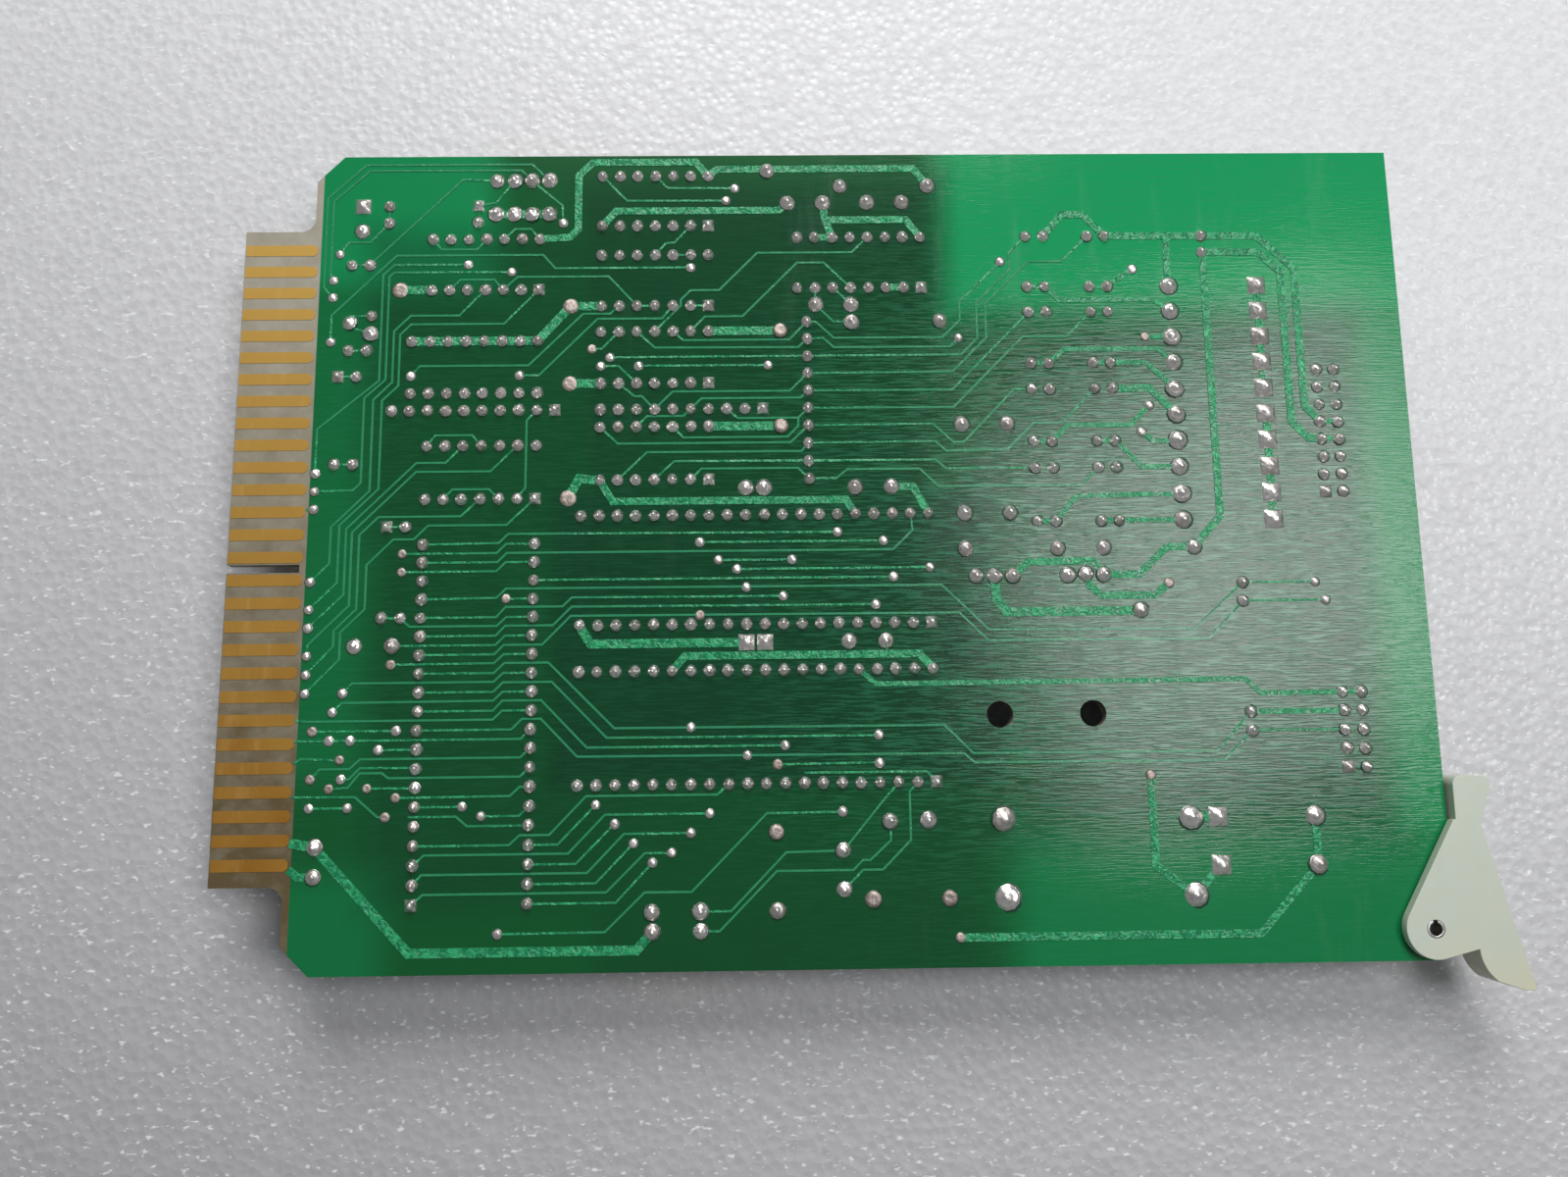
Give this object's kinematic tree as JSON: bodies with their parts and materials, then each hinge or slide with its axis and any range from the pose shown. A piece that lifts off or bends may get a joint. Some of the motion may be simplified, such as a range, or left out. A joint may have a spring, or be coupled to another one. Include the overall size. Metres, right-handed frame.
{
  "type": "plug-in circuit card",
  "caption": "Bare green through-hole circuit card with a gold contact tongue, boxed headers at its front edge and a white ejector lever at one corner.",
  "frame": {"origin": "middle of the contact edge, half way through the laminate", "axes": "+X from the contact edge to the front edge, +Y up the card, +Z out of the solder side"},
  "size_m": [0.1741, 0.1179, 0.0121],
  "materials": {
    "laminate": "gloss",
    "masked_copper": "gloss",
    "solder": "satin",
    "contact_gold": "satin",
    "moulding": "matte",
    "tinned_lead": "satin",
    "socket_plastic": "matte",
    "switch_red": "matte",
    "switch_white": "matte",
    "network_body": "matte",
    "resistor_body": "matte",
    "can_metal": "satin",
    "capacitor_sleeve": "gloss",
    "capacitor_coat": "matte",
    "nylon": "satin",
    "pin_steel": "satin"
  },
  "bodies": {
    "card": {"board": "laminate", "tracks": "masked_copper", "solder_joints": "solder", "via_joints": "solder", "contacts_solder_side": "contact_gold", "contacts_component_side": "contact_gold", "header_pins": "contact_gold", "jumper_posts": "contact_gold", "logic_chip_1": "moulding", "logic_chip_2": "moulding", "logic_chip_3": "moulding", "logic_chip_4": "moulding", "logic_chip_5": "moulding", "logic_chip_6": "moulding", "logic_chip_7": "moulding", "processor_chip": "moulding", "interface_chip": "moulding", "buffer_chip": "moulding", "power_transistor_1": "moulding", "power_transistor_2": "moulding", "power_transistor_3": "moulding", "power_transistor_4": "moulding", "power_transistor_5": "moulding", "power_transistor_6": "moulding", "power_transistor_7": "moulding", "power_transistor_8": "moulding", "regulator_body_1": "moulding", "regulator_body_2": "moulding", "rectifier_diodes": "moulding", "clamp_diodes": "moulding", "logic_chip_leads": "tinned_lead", "large_chip_leads": "tinned_lead", "power_transistor_leads": "tinned_lead", "axial_wires": "tinned_lead", "crystal_wires": "tinned_lead", "regulator_leads": "tinned_lead", "crystal_strap": "tinned_lead", "processor_chip_socket": "socket_plastic", "interface_chip_socket": "socket_plastic", "buffer_chip_socket": "socket_plastic", "header_16_way": "socket_plastic", "header_10_way": "socket_plastic", "jumper_bases": "socket_plastic", "switch_block": "switch_red", "switch_sliders": "switch_white", "resistor_network_1": "network_body", "resistor_network_2": "network_body", "resistor_network_3": "network_body", "resistors": "resistor_body", "crystal_can": "can_metal", "regulator_tab_1": "can_metal", "regulator_tab_2": "can_metal", "filter_capacitor_1": "capacitor_sleeve", "filter_capacitor_2": "capacitor_sleeve", "ceramic_capacitors": "capacitor_coat", "bead_capacitors": "capacitor_coat"},
    "ejector": {"ejector_lever": "nylon", "ejector_pin": "pin_steel"}
  },
  "joints": [
    {"name": "ejector_pivot", "type": "hinge", "parent": "card", "child": "ejector", "pos_m": [0.16147, -0.05295, 0], "axis": [0, 0, -1], "range_deg": [0, 70]}
  ]
}
